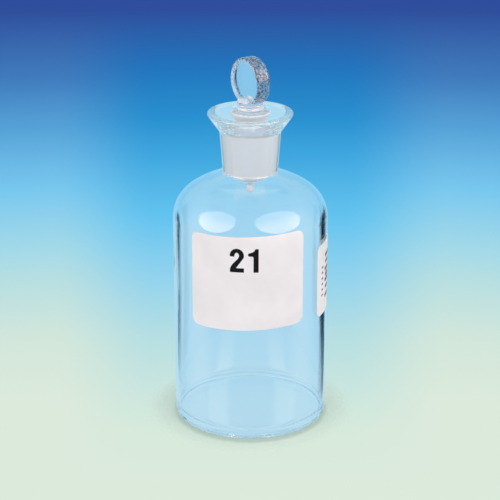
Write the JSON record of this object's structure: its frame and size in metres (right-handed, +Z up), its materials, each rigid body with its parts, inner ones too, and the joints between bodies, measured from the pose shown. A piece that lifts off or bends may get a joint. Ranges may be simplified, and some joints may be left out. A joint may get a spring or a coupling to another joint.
{
  "type": "bod bottle",
  "caption": "Glass sample bottle with a flared water-seal cup and a ground penny-head stopper, with white enamel marking panels.",
  "frame": {"origin": "centre of the base, on the surface the bottle stands on", "axes": "+Z up the bottle's axis to the stopper; the marking panel faces -Y"},
  "size_m": [0.0671, 0.0671, 0.1615],
  "materials": {
    "bottle_glass": "clear, polished, with a ground socket",
    "stopper_glass": "clear grip, ground plug and collar",
    "enamel": "white fired enamel, satin"
  },
  "bodies": {
    "root": {"bottle": "bottle_glass", "stopper": "stopper_glass", "front_panel": "enamel", "side_panel": "enamel"}
  },
  "joints": []
}
